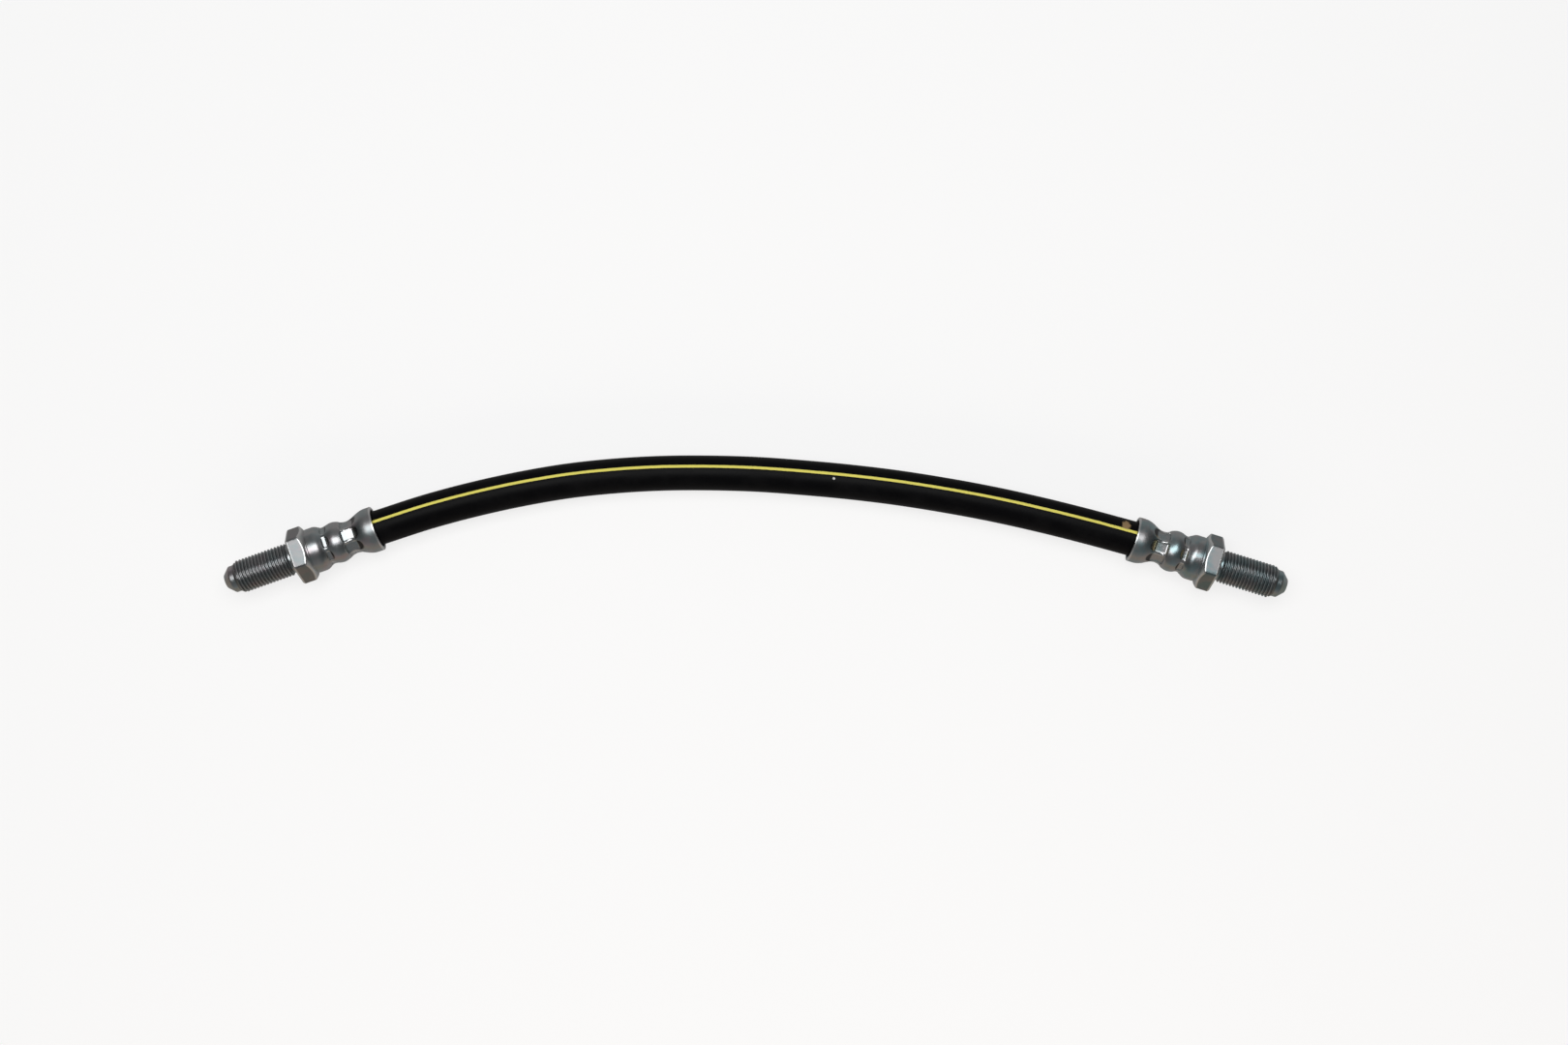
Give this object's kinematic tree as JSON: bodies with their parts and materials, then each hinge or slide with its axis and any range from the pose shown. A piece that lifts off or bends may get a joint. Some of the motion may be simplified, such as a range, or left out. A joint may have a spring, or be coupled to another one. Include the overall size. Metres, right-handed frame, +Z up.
{
  "type": "brake hose",
  "caption": "Flexible hydraulic brake hose: reinforced black rubber hose crimped into a male-threaded steel end fitting with a hexagon at each end.",
  "frame": {"origin": "on the floor, under the middle of the box round the two end fittings", "axes": "+X from the left end to the right end, +Y towards the outside of the bend, +Z up from the floor that the hose lies on"},
  "size_m": [0.3168, 0.0423, 0.0158],
  "materials": {
    "plated_steel": "bright zinc plated, turned and crimped",
    "insert_steel": "plated",
    "cover_rubber": "smooth black rubber with a thin yellow line along it",
    "liner_rubber": "plain black rubber",
    "braid_yarn": "braided synthetic yarn bonded in rubber"
  },
  "bodies": {
    "root": {"fitting_left": "plated_steel", "fitting_right": "plated_steel", "insert_left": "insert_steel", "insert_right": "insert_steel", "hose_liner": "liner_rubber", "inner_braid": "braid_yarn", "cushion_layer": "liner_rubber", "outer_braid": "braid_yarn", "hose_cover": "cover_rubber"}
  },
  "joints": []
}
